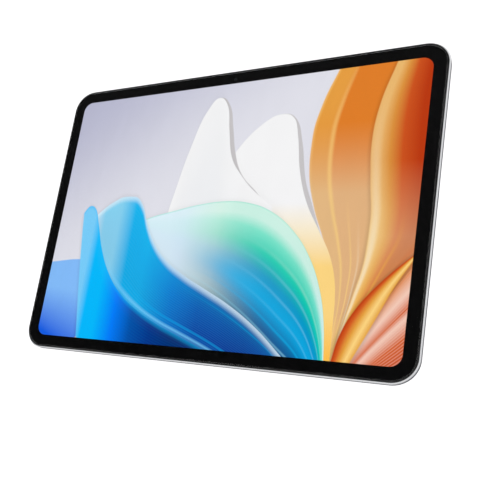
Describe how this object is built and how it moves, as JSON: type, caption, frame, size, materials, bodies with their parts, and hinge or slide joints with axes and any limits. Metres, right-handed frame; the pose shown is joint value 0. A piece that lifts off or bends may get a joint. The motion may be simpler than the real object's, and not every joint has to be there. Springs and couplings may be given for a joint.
{
  "type": "tablet computer",
  "caption": "Thin slab tablet computer with rounded corners, wide lit screen in a black border, metal back with one round camera, side keys and a card tray.",
  "frame": {"origin": "middle of the bounding box's base, in the plane of the rear camera ring's face, 1 mm behind the back", "axes": "+X along the long side towards the charging socket, +Y towards the long side with the front camera, +Z out of the screen"},
  "size_m": [0.2581, 0.1895, 0.0075],
  "materials": {
    "body_metal": "fine blasted, anodised silver grey with bright cut rim",
    "key_metal": "fine blasted, anodised silver grey",
    "frame_metal": "rolled sheet, satin",
    "ring_metal": "turned, satin with bright edge",
    "screen_glass": "polished, clear, rounded rim",
    "camera_glass": "polished, dark coated",
    "flash_lens": "frosted clear",
    "black_ink": "printed black",
    "black_gasket": "matt",
    "picture_panel": "lit picture of abstract coloured petals",
    "light_sheet": "diffuse white",
    "sheet_steel": "rolled sheet",
    "screw_steel": "dark coated",
    "steel_gauze": "woven black gauze",
    "copper_sheet": "copper, satin",
    "green_board": "solder mask",
    "amber_flex": "polyimide film",
    "cell_foil": "black wrapped pouch",
    "black_plastic": "moulded",
    "window_plastic": "moulded, colour matched to the metal"
  },
  "bodies": {
    "root": {"rear_cover": "body_metal", "antenna_window": "window_plastic", "mid_frame": "frame_metal", "glass_trim": "black_gasket", "cover_glass": "screen_glass", "border_mask": "black_ink", "display_panel": "picture_panel", "backlight_unit": "light_sheet", "backlight_tray": "sheet_steel", "display_flex": "amber_flex", "display_driver_board": "green_board", "display_adhesive": "black_gasket", "battery_cell_left": "cell_foil", "battery_cell_right": "cell_foil", "battery_board": "green_board", "battery_flex": "amber_flex", "main_board": "green_board", "processor_shield": "sheet_steel", "power_shield": "sheet_steel", "radio_shield": "sheet_steel", "board_connector": "black_plastic", "heat_spreader": "copper_sheet", "usb_board": "green_board", "usb_port_shell": "sheet_steel", "usb_tongue": "black_plastic", "board_flex": "amber_flex", "speaker_box_1": "black_plastic", "speaker_box_2": "black_plastic", "speaker_box_3": "black_plastic", "speaker_box_4": "black_plastic", "speaker_mesh_1": "steel_gauze", "speaker_mesh_2": "steel_gauze", "speaker_mesh_3": "steel_gauze", "speaker_mesh_4": "steel_gauze", "microphone_top": "black_plastic", "microphone_side": "black_plastic", "front_camera_body": "black_plastic", "front_camera_lens": "camera_glass", "rear_camera_body": "black_plastic", "rear_camera_lens": "camera_glass", "rear_camera_ring": "ring_metal", "rear_camera_window": "camera_glass", "flash_window": "flash_lens", "power_switch": "black_plastic", "volume_switch_up": "black_plastic", "volume_switch_down": "black_plastic", "key_bracket": "sheet_steel", "card_socket": "sheet_steel", "screw_1": "screw_steel", "screw_2": "screw_steel", "screw_3": "screw_steel", "screw_4": "screw_steel", "screw_5": "screw_steel", "screw_6": "screw_steel"},
    "power_key": {"power_key": "key_metal"},
    "volume_key": {"volume_key": "key_metal"},
    "card_tray": {"card_tray": "key_metal"},
    "eject_lever": {"eject_lever": "sheet_steel"},
    "eject_rod": {"eject_rod": "sheet_steel"}
  },
  "joints": [
    {"name": "power_key_press", "type": "slide", "parent": "root", "child": "power_key", "axis": [1, 0, 0], "range_m": [0, 0.00025], "stiffness_N_per_m": 600},
    {"name": "volume_key_rock", "type": "hinge", "parent": "root", "child": "volume_key", "pos_m": [-0.084, 0.09215, 0.004], "axis": [0, 0, 1], "range_deg": [-0.9, 0.9], "stiffness_Nm_per_rad": 0.05},
    {"name": "card_tray_slide", "type": "slide", "parent": "root", "child": "card_tray", "axis": [1, 0, 0], "range_m": [0, 0.018]},
    {"name": "eject_rod_slide", "type": "slide", "parent": "root", "child": "eject_rod", "axis": [-1, 0, 0], "range_m": [0, 0.0012]},
    {"name": "eject_lever_swing", "type": "hinge", "parent": "root", "child": "eject_lever", "pos_m": [0.1096, -0.0376, 0.004], "axis": [0, 0, 1], "range_deg": [-15, 0]}
  ],
  "couplings": [
    {"joint": "eject_lever_swing", "follows": "eject_rod_slide", "rad_per_m": -217.39}
  ]
}
